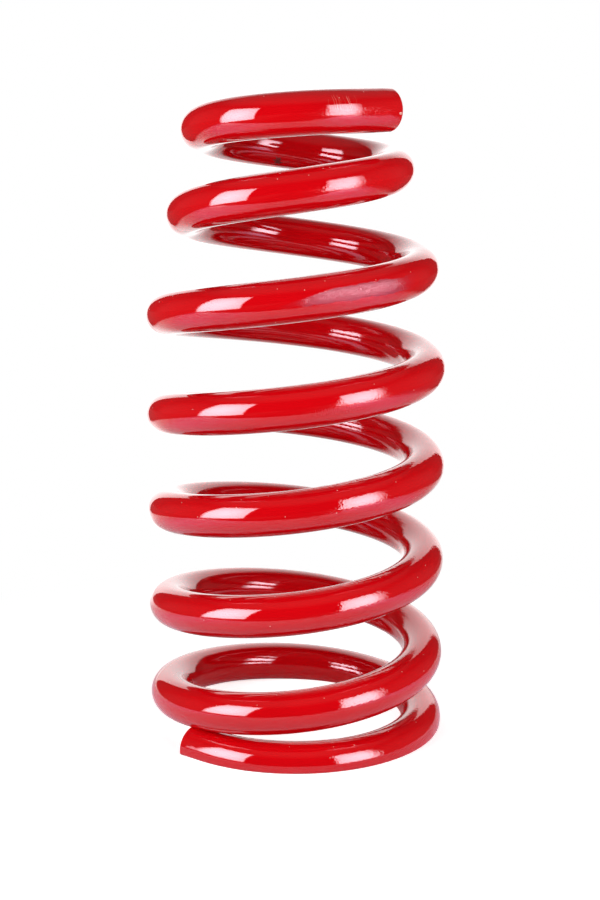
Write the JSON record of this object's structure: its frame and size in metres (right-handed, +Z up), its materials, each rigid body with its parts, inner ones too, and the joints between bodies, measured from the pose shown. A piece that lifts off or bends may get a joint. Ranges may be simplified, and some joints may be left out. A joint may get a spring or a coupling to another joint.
{
  "type": "helical compression spring",
  "caption": "Round-wire helical compression spring with a closed, ground lower seat and a drawn-in open upper coil, in gloss red paint.",
  "frame": {"origin": "on the coil axis, in the plane of the ground lower seat", "axes": "+Z up the coil axis towards the drawn-in end; -Y faces the viewer of the picture, with +X to the right"},
  "size_m": [0.1177, 0.1178, 0.2508],
  "materials": {
    "painted_wire": "gloss red enamel over spring steel"
  },
  "bodies": {
    "root": {"coil_spring": "painted_wire"}
  },
  "joints": []
}
